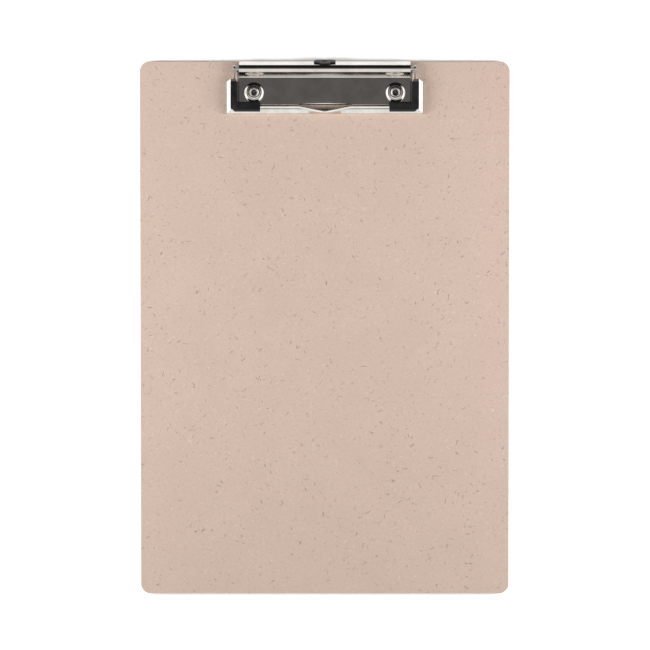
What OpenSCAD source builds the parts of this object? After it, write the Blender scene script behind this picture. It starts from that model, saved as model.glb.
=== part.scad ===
// Clipboard with a low, flat clip. A fibreboard panel carries a riveted
// sheet-metal base whose rear edge is rolled into a hood. A jaw frame with
// rubber corner grips turns on a rod under the hood and is sprung shut, and
// a hanging tab pulls out of the hood's back.
// X runs across the board, Y up the board towards the clip, and Z out of the
// writing face. The origin is the middle of the board's back face.

/* [Board] */
// Width of the board
board_w = 225; // [180:1:280]
// Height of the board
board_h = 325; // [240:1:400]
// Thickness of the board
board_t = 3; // [2:0.1:5]
// Radius of the board's corners
board_corner_r = 6; // [2:0.5:12]

/* [Clip base] */
// Thickness of the clip's sheet metal
sheet_t = 0.8; // [0.6:0.02:1]
// Width of the base plate and its hood
plate_w = 104; // [84:1:130]
// Distance from the pivot to the plate's front edge
plate_reach = 21.9; // [20:0.1:27]
// Outer radius of the hood's crown
hood_r = 3; // [2.9:0.05:3.4]
// Slope of the hood's two flanks in degrees
flank_angle = 55; // [50:1:58]
// Height of the pivot above the board's face
pivot_h = 2.5; // [2.4:0.05:3]
// Distance from the pivot to the board's top edge
pivot_setback = 4.5; // [4.4:0.05:5]
// Radius of the inside corner where the plate turns up into the hood
fillet_r = 1.05; // [0.4:0.05:1.2]
// Size of the bevel along the plate's front edge
edge_bevel = 0.4; // [0.1:0.05:0.5]

/* [Rivets] */
// Distance of each rivet in from the end of the plate
rivet_inset = 9; // [8:0.5:14]
// Distance of each rivet behind the plate's front edge
rivet_setback = 7.6; // [6.5:0.1:8]
// Outside diameter of the rivet's tube
rivet_d = 4.6; // [4:0.1:5.6]
// Bore through the rivet
rivet_bore_d = 3.5; // [2.8:0.1:3.6]
// Diameter of the rivet's flange
rivet_flange_d = 8; // [7:0.1:9]
// Diameter of the raised boss under the flange
boss_d = 11.6; // [10.6:0.1:13]
// Height of the raised boss
boss_h = 0.7; // [0.3:0.05:0.9]
// Diameter of the washer behind the board
washer_d = 9.2; // [8:0.1:11]
// Thickness of the washer
washer_t = 0.3; // [0.2:0.05:0.4]

/* [Jaw] */
// Width of the flat top of each side arm
arm_w = 4; // [3.4:0.1:5]
// Width of the flat top of the front bar
bar_w = 2.3; // [1.8:0.1:3]
// Height of the jaw's top above the board's face
jaw_h = 4; // [3.8:0.05:5]
// Run of the front skirt from its crease to its lower edge
front_skirt = 2.5; // [1.5:0.1:3]
// Run of each side skirt from its crease to its lower edge
side_skirt = 2.6; // [1.5:0.1:3.5]
// Height of the upright lip along the skirts' lower edges
skirt_lip = 1.8; // [1:0.1:2.2]
// Height of the turned-up lip along the bar's inner edge
lip_h = 0.55; // [0.3:0.05:0.6]
// Width of the finger notch in the front bar
notch_w = 29; // [20:1:36]
// Depth of the finger notch
notch_d = 3; // [1.5:0.1:3]

/* [Rod and springs] */
// Diameter of the pivot rod
rod_d = 2; // [1.6:0.1:2.2]
// Diameter of the rod's peened heads
rod_head_d = 3.4; // [3:0.1:4]
// Diameter of the spring wire
wire_d = 0.6; // [0.5:0.05:0.65]
// Turns in each spring
coil_turns = 11; // [6:1:13]

/* [Grips] */
// Thickness of rubber over the jaw's metal
grip_skin = 0.6; // [0.4:0.05:0.8]
// Length of each grip along the front bar
grip_leg = 18; // [14:0.5:24]
// Depth of each grip's front leg behind the bar
grip_depth = 2.5; // [1.5:0.1:2.6]
// Size of the bevel across each grip's outer corner
grip_bevel = 2.4; // [1:0.1:4]

/* [Hanging tab] */
// Thickness of the tab
tab_t = 1; // [0.7:0.05:1.2]
// Width of the tab's tongue
tab_w = 7.2; // [6.4:0.1:9]
// Diameter of the nail hole
nail_hole_d = 3.3; // [2.5:0.1:4]
// Width of the tab's pull
pull_w = 13.2; // [11:0.1:16]

/* [Hidden] */
$fn = 48;

// Clearances and small fixed details
hole_gap = 0.05;       // round a rivet or washer in its hole
rod_gap = 0.05;        // rod in the base's bearings
rod_press = 0.02;      // rod in the jaw's ears
seat_gap = 0.1;        // under the closed jaw and the tab
move_gap = 0.3;        // between pieces that pass each other
front_gap = 0.7;       // plate's front edge to the bar
arm_gap = 1.2;         // plate's end to the arm
grip_wrap = 0.7;       // rubber inside the arm's inner edge
ear_inset = 1.2;       // arm's inner edge to the ear
ear_gap = 0.5;         // ear to the spring's first turn
lug_gap = 0.4;         // ear's round end to the board
bearing_gap = 1.4;     // spring's last turn to the bearing
coil_gap = 0.3;        // rod to the inside of the spring
leg_gap = 0.05;        // spring's legs to what they press on
leg_tuck = 0.04;       // legs start just inside the coil's surface
lip_run = 1.6;         // run of the turned-up lip, from the bar's inner edge
lip_flat = 0.3;        // flat along the lip's top
lip_bevel = 0.2;
arm_run = 6.4;         // end of each arm to the pivot
finger_wall_t = 1.15;  // wall round the finger notch
skirt_slant = 1.7;     // slanted rear end of each side skirt
recess_depth = 0.7;    // pocket for the washer in the board's back
clinch_t = 0.25;       // rolled end of the rivet on its washer
flange_t = 0.4;        // rivet's flange
lip_r = 0.5;           // rolled rim round the rivet's mouth
head_t = 0.7;          // rod's peened head
tail_w = 10.8;         // stop at the inner end of the tab
tail_d = 1.1;
tab_travel = 5.9;      // how far the tab pulls out
pull_corner_r = 1.8;
pull_lap = 0.4;        // pull's top edge past the flank's, along the slope
pull_foot = 1.6;       // pull's lower corners above the board
pull_mid_w = 5.6;      // middle of the pull, which stands higher than its wings
pull_step = 1;         // drop from the middle to the wings
ridge_w = 5;           // thumb ridge on the pull
ridge_h = 0.45;
past = 1;              // how far a cut runs past a face

// Where things are
face_z = board_t;
top_y = board_h / 2;
pivot_y = top_y - pivot_setback;
pivot_z = face_z + pivot_h;
front_y = pivot_y - plate_reach;
hood_in_r = hood_r - sheet_t;
fillet_z = face_z + sheet_t + fillet_r;
flank_top_y = hood_r * sin(flank_angle);       // crown's ends, from the pivot
flank_top_z = pivot_z + hood_r * cos(flank_angle);
flank_low_z = fillet_z - fillet_r * cos(flank_angle);
fillet_y = pivot_y - flank_top_y - fillet_r * sin(flank_angle)
    - (flank_top_z - flank_low_z) / tan(flank_angle);
rear_low_z = flank_top_z - (pivot_setback - flank_top_y) * tan(flank_angle);
rivet_x = plate_w / 2 - rivet_inset;
rivet_y = front_y + rivet_setback;
rivet_hole_r = rivet_d / 2 + hole_gap;
boss_slope = boss_h * 1.3;
flange_z = face_z + sheet_t + boss_h;
rod_r = rod_d / 2;
coil_r = rod_r + coil_gap + wire_d / 2;
coil_pitch = wire_d * 0.94;
arm_in_x = plate_w / 2 + arm_gap;
crease_x = arm_in_x + arm_w;
bar_in_y = front_y - front_gap;
crease_y = bar_in_y - bar_w;
jaw_top_z = face_z + jaw_h;
skirt_z = face_z + seat_gap;
slope_rise = jaw_top_z - skirt_z - skirt_lip;
arm_end_y = pivot_y - arm_run;
ear_x = arm_in_x + ear_inset;
lug_r = pivot_h - lug_gap;
coil_x = ear_x - ear_gap - wire_d / 2;
coil_end_x = coil_x - (coil_turns - 1) * coil_pitch;
bearing_x = coil_end_x - wire_d / 2 - bearing_gap;
tab_z = face_z + seat_gap;
tab_tail_y = fillet_y + fillet_r + sheet_t + hole_gap;
nail_y = top_y + move_gap + nail_hole_d / 2 - tab_travel + hole_gap * 5;
pull_rear_y = top_y + (move_gap + tab_t) * sin(flank_angle);
pull_top_z = flank_top_z + (move_gap + tab_t) * cos(flank_angle) + pull_lap * sin(flank_angle);

// Stands a Y-Z outline up and runs it along X from x0 to x1
module along_x(x0, x1) {
    translate([x0, 0, 0])
        rotate([90, 0, 90])
            linear_extrude(x1 - x0)
                children();
}

// Stands an X-Z outline up and runs it along Y from y0 to y1
module along_y(y0, y1) {
    translate([0, y1, 0])
        rotate([90, 0, 0])
            linear_extrude(y1 - y0)
                children();
}

// Runs a plan outline up Z from z0 to z1
module along_z(z0, z1) {
    translate([0, 0, z0])
        linear_extrude(z1 - z0)
            children();
}

// Part of a ring from angle a0 to angle a1, less than half a turn
module ring_arc(r_in, r_out, a0, a1) {
    reach = 2 * r_out;
    intersection() {
        difference() {
            circle(r_out);
            circle(r_in);
        }
        polygon([
            [0, 0],
            [reach * cos(a0), reach * sin(a0)],
            [reach * cos((a0 + a1) / 2), reach * sin((a0 + a1) / 2)],
            [reach * cos(a1), reach * sin(a1)]
        ]);
    }
}

// A fibreboard panel with rounded corners
module panel_outline() {
    for (x = [-1, 1])
        for (y = [-1, 1])
            translate([x * (board_w / 2 - board_corner_r), y * (board_h / 2 - board_corner_r)])
                circle(board_corner_r);
    square([board_w - 2 * board_corner_r, board_h], center = true);
    square([board_w, board_h - 2 * board_corner_r], center = true);
}

module board() {
    color([0.80, 0.72, 0.67])
        difference() {
            along_z(0, board_t)
                panel_outline();
            for (side = [-1, 1])
                translate([side * rivet_x, rivet_y, 0]) {
                    translate([0, 0, -past])
                        cylinder(h = board_t + 2 * past, r = rivet_hole_r);
                    translate([0, 0, -past])
                        cylinder(h = recess_depth + past, r = washer_d / 2 + hole_gap);
                }
        }
}

// Flat plate, turned up through a small fillet into the hood: a round crown
// between two straight flanks, then an upright wall flush with the board
module base_profile() {
    rise = sheet_t * tan((90 - flank_angle) / 2);
    low_y = fillet_y + fillet_r * sin(flank_angle);
    polygon([
        [front_y, face_z],
        [fillet_y, face_z],
        [fillet_y, face_z + sheet_t],
        [front_y + edge_bevel, face_z + sheet_t],
        [front_y, face_z + sheet_t - edge_bevel]
    ]);
    translate([fillet_y, fillet_z])
        ring_arc(fillet_r, fillet_r + sheet_t, -90, flank_angle - 90);
    polygon([
        [low_y, flank_low_z],
        [pivot_y - flank_top_y, flank_top_z],
        [pivot_y - flank_top_y + sheet_t * sin(flank_angle), flank_top_z - sheet_t * cos(flank_angle)],
        [low_y + sheet_t * sin(flank_angle), flank_low_z - sheet_t * cos(flank_angle)]
    ]);
    translate([pivot_y, pivot_z])
        ring_arc(hood_in_r, hood_r, 90 - flank_angle, 90 + flank_angle);
    polygon([
        [pivot_y + flank_top_y, flank_top_z],
        [top_y, rear_low_z],
        [top_y, face_z],
        [top_y - sheet_t, face_z],
        [top_y - sheet_t, rear_low_z - rise],
        [pivot_y + flank_top_y - sheet_t * sin(flank_angle), flank_top_z - sheet_t * cos(flank_angle)]
    ]);
}

// Upright bearing inside the hood that carries the rod
module bearing_outline() {
    translate([pivot_y, pivot_z])
        circle(hood_in_r + sheet_t / 2);
}

module base_plate() {
    slot_w = tab_w + 2 * move_gap;
    color([0.74, 0.74, 0.76])
        difference() {
            union() {
                along_x(-plate_w / 2, plate_w / 2)
                    base_profile();
                for (side = [-1, 1]) {
                    translate([side * (bearing_x - sheet_t / 2), 0, 0])
                        intersection() {
                            along_x(-sheet_t / 2, sheet_t / 2)
                                bearing_outline();
                            translate([-past, 0, face_z])
                                cube([2 * past, top_y - sheet_t / 2, hood_r * 3]);
                        }
                    translate([side * rivet_x, rivet_y, face_z + sheet_t])
                        cylinder(h = boss_h, r1 = boss_d / 2, r2 = boss_d / 2 - boss_slope);
                }
            }
            for (side = [-1, 1]) {
                translate([side * rivet_x, rivet_y, face_z])
                    cylinder(h = boss_h, r1 = boss_d / 2 - sheet_t, r2 = boss_d / 2 - sheet_t - boss_slope);
                translate([side * rivet_x, rivet_y, face_z - past])
                    cylinder(h = sheet_t + boss_h + 2 * past, r = rivet_hole_r);
                translate([side * (bearing_x - sheet_t / 2), pivot_y, pivot_z])
                    rotate([0, 90, 0])
                        cylinder(h = sheet_t + past, r = rod_r + rod_gap, center = true);
            }
            translate([-slot_w / 2, top_y - sheet_t - past / 2, face_z - past])
                cube([slot_w, sheet_t + past, seat_gap + tab_t + move_gap + past]);
        }
}

// Tubular rivet: a flange with a rolled rim on top, clinched over the washer
module rivet(side) {
    bore_r = rivet_bore_d / 2;
    clinch_z = recess_depth - washer_t - clinch_t;
    color([0.83, 0.83, 0.84])
        translate([side * rivet_x, rivet_y, 0])
            rotate_extrude() {
                translate([bore_r, clinch_z])
                    square([rivet_d / 2 - bore_r, flange_z + flange_t - clinch_z]);
                translate([bore_r, clinch_z])
                    square([rivet_d / 2 - bore_r + sheet_t, clinch_t]);
                translate([bore_r, flange_z])
                    square([rivet_flange_d / 2 - bore_r, flange_t]);
                translate([bore_r + lip_r, flange_z + lip_r])
                    circle(lip_r);
            }
}

module washer(side) {
    color([0.7, 0.7, 0.72])
        translate([side * rivet_x, rivet_y, recess_depth - washer_t])
            difference() {
                cylinder(h = washer_t, r = washer_d / 2);
                translate([0, 0, -past])
                    cylinder(h = washer_t + 2 * past, r = rivet_hole_r);
            }
}

// Outline of one skirt from its lower edge up to the jaw's flat top, as
// [distance out from the crease, height], with every face set in by d
function skirt_outline(run, d, low) =
    let (
        shift = d * sqrt(run * run + slope_rise * slope_rise) / slope_rise,
        knee_z = jaw_top_z - slope_rise * (run + shift - d) / run
    )
    [[run - d, low], [run - d, knee_z], [run * d / slope_rise - shift, jaw_top_z - d]];

// The jaw's outer form, with every face set in by d. It runs down past the
// skirts' lower edges by depth and back past the arms' ends by back.
module jaw_form(d, depth = 0, back = 0) {
    low = skirt_z - depth;
    end_y = arm_end_y + back;
    front = skirt_outline(front_skirt, d, low);
    left = [for (p = skirt_outline(side_skirt, d, low)) [-crease_x - p[0], p[1]]];
    intersection() {
        along_x(-2 * crease_x, 2 * crease_x)
            polygon([
                for (p = front) [crease_y - p[0], p[1]],
                [end_y, jaw_top_z - d],
                [end_y, low]
            ]);
        along_y(crease_y - 2 * jaw_h, end_y + past)
            polygon([
                for (p = left) p,
                for (i = [2 : -1 : 0]) [-left[i][0], left[i][1]]
            ]);
    }
}

// Bent sheet that goes round the plate on three sides
module jaw_shell() {
    end_x = crease_x + side_skirt;
    difference() {
        jaw_form(0);
        jaw_form(sheet_t, past, past);
        along_z(skirt_z - past, jaw_top_z + past)
            translate([-arm_in_x, bar_in_y])
                square([2 * arm_in_x, arm_end_y + past - bar_in_y]);
        for (side = [-1, 1])
            along_z(skirt_z - past, jaw_top_z + past)
                polygon([
                    [side * crease_x, arm_end_y],
                    [side * end_x, arm_end_y - skirt_slant],
                    [side * (end_x + past), arm_end_y - skirt_slant],
                    [side * (end_x + past), arm_end_y + past],
                    [side * crease_x, arm_end_y + past]
                ]);
    }
}

// Lip turned up along the bar's inner edge, between the grips
module bar_lip() {
    lip_x = crease_x - grip_leg - seat_gap;
    lip_z = jaw_top_z + lip_h;
    root_z = jaw_top_z - sheet_t / 2;
    along_x(-lip_x, lip_x)
        polygon([
            [bar_in_y - lip_run, root_z],
            [bar_in_y - lip_run, jaw_top_z],
            [bar_in_y - lip_flat - lip_bevel, lip_z],
            [bar_in_y - lip_bevel, lip_z],
            [bar_in_y, lip_z - lip_bevel],
            [bar_in_y, root_z]
        ]);
}

// Wall that carries the bar forward round the finger notch
module finger_wall() {
    half_w = notch_w / 2 - finger_wall_t;
    tip_y = bar_in_y - notch_d - finger_wall_t;
    along_z(skirt_z, jaw_top_z + lip_h)
        polygon([
            [-half_w, crease_y],
            [0, tip_y],
            [half_w, crease_y],
            [half_w, crease_y + finger_wall_t],
            [0, tip_y + finger_wall_t],
            [-half_w, crease_y + finger_wall_t]
        ]);
}

module finger_cut() {
    along_z(skirt_z - past, jaw_top_z + past)
        polygon([
            [-notch_w / 2, bar_in_y],
            [0, bar_in_y - notch_d],
            [notch_w / 2, bar_in_y],
            [notch_w / 2, bar_in_y + past],
            [-notch_w / 2, bar_in_y + past]
        ]);
}

// Upright ear at the end of each arm, with a round end about the rod
module ear(side) {
    root_y = arm_end_y - ear_inset;
    translate([side > 0 ? ear_x : -ear_x - sheet_t, 0, 0])
        along_x(0, sheet_t) {
            translate([pivot_y, pivot_z])
                circle(lug_r);
            polygon([
                [root_y, jaw_top_z - lug_r],
                [root_y, jaw_top_z],
                [pivot_y, jaw_top_z],
                [pivot_y, pivot_z - lug_r]
            ]);
        }
}

module jaw_frame() {
    color([0.80, 0.80, 0.82])
        difference() {
            union() {
                jaw_shell();
                bar_lip();
                finger_wall();
                ear(1);
                ear(-1);
            }
            finger_cut();
            translate([0, pivot_y, pivot_z])
                rotate([0, 90, 0])
                    cylinder(h = 3 * crease_x, r = rod_r + rod_press, center = true);
        }
}

module pivot_rod() {
    end_x = ear_x + sheet_t;
    color([0.68, 0.68, 0.7])
        translate([0, pivot_y, pivot_z])
            rotate([0, 90, 0]) {
                cylinder(h = 2 * end_x, r = rod_r, center = true);
                for (side = [0, 1])
                    mirror([0, 0, side])
                        translate([0, 0, end_x])
                            cylinder(h = head_t, r1 = rod_head_d / 2, r2 = rod_head_d / 2 - head_t / 2);
            }
}

// Close-wound torsion spring. Its inner leg stands on the board behind the
// rod, and its outer leg lies on the arm and presses it down.
module coil_outline() {
    groove_r = coil_r + wire_d / 4;
    rim_r = coil_r + wire_d / 2;
    polygon([
        [coil_r - wire_d / 2, wire_d / 2],
        for (turn = [0 : coil_turns - 1])
            for (corner = [[groove_r, 0.5], [rim_r, 0.2], [rim_r, -0.2], [groove_r, -0.5]])
                [corner[0], corner[1] * coil_pitch - turn * coil_pitch],
        [coil_r - wire_d / 2, -(coil_turns - 1) * coil_pitch - wire_d / 2]
    ]);
}

module spring(side) {
    wire_r = wire_d / 2;
    tip_y = arm_end_y - ear_inset / 2;
    tip_z = jaw_top_z + wire_r + leg_gap;
    start_z = pivot_z + coil_r - leg_tuck;
    leg_run = pivot_y - tip_y;
    leg_drop = start_z - tip_z;
    foot_z = face_z + leg_gap;
    color([0.6, 0.6, 0.62])
        mirror([side < 0 ? 1 : 0, 0, 0]) {
            translate([coil_x, pivot_y, pivot_z])
                rotate([0, 90, 0])
                    rotate_extrude()
                        coil_outline();
            translate([coil_x, pivot_y, start_z])
                rotate([90 + atan2(leg_drop, leg_run), 0, 0])
                    cylinder(h = sqrt(leg_run * leg_run + leg_drop * leg_drop), r = wire_r);
            translate([coil_end_x, pivot_y + coil_r - leg_tuck, foot_z])
                cylinder(h = pivot_z - foot_z, r = wire_r);
        }
}

// L-shaped rubber grip, moulded over the corner of the jaw
module grip(side) {
    end_x = crease_x - grip_leg;
    in_x = arm_in_x - grip_wrap;
    back_y = bar_in_y + grip_depth;
    front_edge_y = crease_y - front_skirt / 2 + hole_gap;
    rear_y = arm_end_y - ear_inset - hole_gap * 4;
    color([0.07, 0.07, 0.08])
        mirror([side < 0 ? 1 : 0, 0, 0])
            difference() {
                intersection() {
                    jaw_form(-grip_skin, -hole_gap);
                    along_z(0, jaw_top_z + 2 * grip_skin)
                        polygon([
                            [end_x, front_edge_y],
                            [crease_x - grip_bevel, front_edge_y],
                            [crease_x, front_edge_y + grip_bevel],
                            [crease_x, rear_y],
                            [in_x, rear_y],
                            [in_x, back_y],
                            [end_x, back_y]
                        ]);
                }
                jaw_shell();
                translate([0, front_y - move_gap, 0])
                    cube([plate_w / 2 + move_gap, plate_reach, face_z + sheet_t + move_gap]);
            }
}

// Hanging tab: a tongue with a nail hole that slides under the hood, and a
// pull that lies along the hood's rear flank
module pull_section() {
    along = [-cos(flank_angle), sin(flank_angle)];
    out = [sin(flank_angle), cos(flank_angle)];
    foot = [top_y, rear_low_z] + move_gap * out;
    top = [pivot_y + flank_top_y, flank_top_z] + move_gap * out + pull_lap * along;
    polygon([
        top,
        top + tab_t * out,
        foot + tab_t * out,
        [foot[0] + tab_t * out[0], tab_z],
        [foot[0], tab_z],
        foot
    ]);
}

module pull_ridge() {
    along = [-cos(flank_angle), sin(flank_angle)];
    out = [sin(flank_angle), cos(flank_angle)];
    foot = [top_y, rear_low_z] + (move_gap + tab_t / 2) * out;
    reach = (tab_t / 2 + ridge_h) * out;
    polygon([
        foot + ridge_h * along,
        foot + 2.4 * along,
        foot + 2 * along + reach,
        foot + 2 * ridge_h * along + reach
    ]);
}

module pull_elevation() {
    low = face_z + pull_foot;
    wing_z = pull_top_z - pull_step;
    foot_r = pull_corner_r / 2;
    for (x = [-1, 1]) {
        translate([x * (pull_w / 2 - foot_r), low + foot_r])
            circle(foot_r);
        translate([x * (pull_w / 2 - pull_corner_r), wing_z - pull_corner_r])
            circle(pull_corner_r);
    }
    translate([-pull_w / 2, low + foot_r])
        square([pull_w, wing_z - pull_corner_r - low - foot_r]);
    translate([-pull_w / 2 + foot_r, low])
        square([pull_w - 2 * foot_r, foot_r]);
    translate([-pull_w / 2 + pull_corner_r, low])
        square([pull_w - 2 * pull_corner_r, wing_z - low]);
    translate([-pull_mid_w / 2, low])
        square([pull_mid_w, pull_top_z - low]);
    translate([-tab_w / 2, tab_z])
        square([tab_w, low - tab_z + seat_gap]);
}

module hanging_tab() {
    color([0.10, 0.10, 0.11])
        difference() {
            union() {
                along_z(tab_z, tab_z + tab_t) {
                    translate([-tab_w / 2, tab_tail_y])
                        square([tab_w, pull_rear_y - tab_tail_y]);
                    translate([-tail_w / 2, tab_tail_y])
                        square([tail_w, tail_d]);
                }
                intersection() {
                    along_x(-pull_w / 2, pull_w / 2)
                        pull_section();
                    along_y(pivot_y, pull_rear_y + past)
                        pull_elevation();
                }
                along_x(-ridge_w / 2, ridge_w / 2)
                    pull_ridge();
            }
            translate([0, nail_y, tab_z - past])
                cylinder(h = tab_t + 2 * past, r = nail_hole_d / 2);
        }
}

board();
base_plate();
rivet(-1);  // rivet_left
rivet(1);  // rivet_right
washer(-1);  // washer_left
washer(1);  // washer_right
jaw_frame();
pivot_rod();
spring(-1);  // spring_left
spring(1);  // spring_right
grip(-1);  // grip_left
grip(1);  // grip_right
hanging_tab();
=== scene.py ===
import math

import bmesh
import bpy
from mathutils import Matrix, Vector


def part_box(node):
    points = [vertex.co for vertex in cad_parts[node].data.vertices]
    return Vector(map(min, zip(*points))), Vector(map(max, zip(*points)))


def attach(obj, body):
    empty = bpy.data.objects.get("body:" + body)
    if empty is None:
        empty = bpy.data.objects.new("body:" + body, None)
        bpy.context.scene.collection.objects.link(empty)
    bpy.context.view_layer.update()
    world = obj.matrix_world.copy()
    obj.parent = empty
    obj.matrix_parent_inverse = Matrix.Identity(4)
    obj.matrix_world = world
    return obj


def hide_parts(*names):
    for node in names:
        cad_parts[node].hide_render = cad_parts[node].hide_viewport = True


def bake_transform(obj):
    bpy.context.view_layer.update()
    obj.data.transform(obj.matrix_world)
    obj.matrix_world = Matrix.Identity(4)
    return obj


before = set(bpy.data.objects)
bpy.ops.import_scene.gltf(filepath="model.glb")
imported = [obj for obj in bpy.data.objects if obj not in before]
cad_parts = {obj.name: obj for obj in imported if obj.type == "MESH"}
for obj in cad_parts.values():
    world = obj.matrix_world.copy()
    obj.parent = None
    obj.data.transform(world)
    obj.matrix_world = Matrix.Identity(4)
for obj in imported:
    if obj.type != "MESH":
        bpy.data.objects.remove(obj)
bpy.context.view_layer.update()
scene = bpy.context.scene

# Millimetres are used for every mesh below, and each mesh is scaled to metres when it is finished.
MM = 0.001

# ---------------------------------------------------------------- camera
CAMERA_DISTANCE = 1.3       # from the board's face, in metres
CAMERA_TILT = 1.8           # degrees, with the top of the board nearer
VIEW_WIDTH = 0.3969         # across the frame at the board's face
SENSOR = 36.0
AIM = Vector((0.00015, 0.0022, 0.003))

camera_data = bpy.data.cameras.new("camera")
camera_data.sensor_width = SENSOR
camera_data.lens = SENSOR * CAMERA_DISTANCE / VIEW_WIDTH
camera_data.clip_start = 0.01
camera_data.clip_end = 50
camera = bpy.data.objects.new("camera", camera_data)
scene.collection.objects.link(camera)
tilt = math.radians(CAMERA_TILT)
camera.location = AIM + Vector((0, math.sin(tilt), math.cos(tilt))) * CAMERA_DISTANCE
camera.rotation_euler = (-tilt, 0, 0)
scene.camera = camera
scene.view_settings.view_transform = "Standard"


# ---------------------------------------------------------------- places, from the CAD
def box_mm(node):
    """A CAD node's lowest and highest corner in millimetres."""
    low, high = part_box(node)
    return Vector(low) / MM, Vector(high) / MM


board_lo, board_hi = box_mm("board")
plate_lo, plate_hi = box_mm("base_plate")
jaw_lo, jaw_hi = box_mm("jaw_frame")
rod_lo, rod_hi = box_mm("pivot_rod")
rivet_lo, rivet_hi = box_mm("rivet_right")
washer_lo, washer_hi = box_mm("washer_right")
grip_lo, grip_hi = box_mm("grip_right")
tab_lo, tab_hi = box_mm("hanging_tab")

SHEET = 0.8
face_z = board_hi.z
top_y = board_hi.y
pivot_y = (rod_lo.y + rod_hi.y) / 2
pivot_z = (rod_lo.z + rod_hi.z) / 2
plate_x = plate_hi.x
front_y = plate_lo.y
plate_top = face_z + SHEET
hood_r = plate_hi.z - pivot_z
rivet_x = (rivet_lo.x + rivet_hi.x) / 2
rivet_y = (rivet_lo.y + rivet_hi.y) / 2
rivet_top = rivet_hi.z


# ---------------------------------------------------------------- mesh tools
def arc(cu, cv, radius, start, end, steps):
    """Points on an arc, angles in degrees."""
    return [
        (
            cu + radius * math.cos(math.radians(start + (end - start) * k / steps)),
            cv + radius * math.sin(math.radians(start + (end - start) * k / steps)),
        )
        for k in range(steps + 1)
    ]


def rounded(points, radius, steps=6):
    """A closed outline with rounded corners; radius is one number or one for each corner."""
    count = len(points)
    radii = radius if isinstance(radius, (list, tuple)) else [radius] * count
    out = []
    for k in range(count):
        here = Vector(points[k])
        if radii[k] <= 0:
            out.append(tuple(here))
            continue
        a = (Vector(points[k - 1]) - here).normalized()
        b = (Vector(points[(k + 1) % count]) - here).normalized()
        half = math.acos(max(-1.0, min(1.0, a.dot(b)))) / 2
        centre = here + (a + b).normalized() * (radii[k] / math.sin(half))
        first = here + a * (radii[k] / math.tan(half)) - centre
        last = here + b * (radii[k] / math.tan(half)) - centre
        begin = math.atan2(first.y, first.x)
        turn = math.atan2(first.x * last.y - first.y * last.x, first.dot(last))
        for s in range(steps + 1):
            angle = begin + turn * s / steps
            out.append((centre.x + radii[k] * math.cos(angle), centre.y + radii[k] * math.sin(angle)))
    return out


def make(name, verts, faces):
    mesh = bpy.data.meshes.new(name)
    mesh.from_pydata([tuple(float(c) for c in v) for v in verts], [], faces)
    bm = bmesh.new()
    bm.from_mesh(mesh)
    bmesh.ops.remove_doubles(bm, verts=bm.verts, dist=0.0005)
    bmesh.ops.recalc_face_normals(bm, faces=bm.faces)
    bm.to_mesh(mesh)
    bm.free()
    obj = bpy.data.objects.new(name, mesh)
    scene.collection.objects.link(obj)
    return obj


def loft(name, loops, strip=False, ring=False):
    """Joins loops of equally many points. A strip's loop runs out along one side of a sheet and
    back along the other."""
    count = len(loops[0])
    verts = [v for loop in loops for v in loop]
    faces = []
    for i in range(len(loops) if ring else len(loops) - 1):
        a, b = i * count, ((i + 1) % len(loops)) * count
        faces += [(a + j, a + (j + 1) % count, b + (j + 1) % count, b + j) for j in range(count)]
    if not ring:
        for base in (0, (len(loops) - 1) * count):
            if strip:
                faces += [
                    (base + j, base + j + 1, base + count - 2 - j, base + count - 1 - j)
                    for j in range(count // 2 - 1)
                ]
            else:
                faces.append(tuple(range(base, base + count)))
    return make(name, verts, faces)


def placed(axis, t, u, v):
    """A point t along an axis: the other two are Y-Z for X, X-Z for Y, and X-Y for Z."""
    return {"X": (t, u, v), "Y": (u, t, v), "Z": (u, v, t)}[axis]


def prism(name, outline, axis, low, high):
    return loft(name, [[placed(axis, t, u, v) for u, v in outline] for t in (low, high)])


def lathe(name, profile, centre, axis="Z", steps=96):
    """Turns a closed outline of (radius, height) about an axis through centre."""
    loops = []
    for k in range(steps):
        angle = 2 * math.pi * k / steps
        c, s = math.cos(angle), math.sin(angle)
        loops.append(
            [
                tuple(
                    a + b
                    for a, b in zip(centre, (r * c, r * s, h) if axis == "Z" else (h, r * c, r * s))
                )
                for r, h in profile
            ]
        )
    return loft(name, loops, ring=True)


def tube(name, path, radius, sides=16):
    """A round wire along a path, with domed ends."""
    points = [Vector(p) for p in path]
    tangents = [
        (points[min(k + 1, len(points) - 1)] - points[max(k - 1, 0)]).normalized()
        for k in range(len(points))
    ]
    side = tangents[0].orthogonal().normalized()
    loops = []

    def ring(centre, tangent, normal, size):
        other = tangent.cross(normal)
        loops.append(
            [
                centre
                + (
                    normal * math.cos(2 * math.pi * k / sides)
                    + other * math.sin(2 * math.pi * k / sides)
                )
                * size
                for k in range(sides)
            ]
        )

    dome = [(math.cos(a), math.sin(a)) for a in (math.radians(d) for d in (84, 60, 36, 14))]
    for across, along in dome:
        ring(points[0] - tangents[0] * radius * along, tangents[0], side, radius * across)
    for k, (point, tangent) in enumerate(zip(points, tangents)):
        side = (side - tangent * side.dot(tangent)).normalized()
        ring(point, tangent, side, radius)
    for across, along in reversed(dome):
        ring(points[-1] + tangents[-1] * radius * along, tangents[-1], side, radius * across)
    return loft(name, loops)


def settle(obj):
    """Applies the object's modifiers."""
    graph = bpy.context.evaluated_depsgraph_get()
    mesh = bpy.data.meshes.new_from_object(obj.evaluated_get(graph))
    obj.modifiers.clear()
    old, obj.data = obj.data, mesh
    bpy.data.meshes.remove(old)
    return obj


def combine(obj, tool, how="DIFFERENCE", keep=False):
    """Cuts with, joins or keeps what is common with another closed mesh."""
    modifier = obj.modifiers.new("combine", "BOOLEAN")
    modifier.operation = how
    modifier.solver = "EXACT"
    modifier.object = tool
    settle(obj)
    if not keep:
        bpy.data.objects.remove(tool)
    return obj


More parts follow.
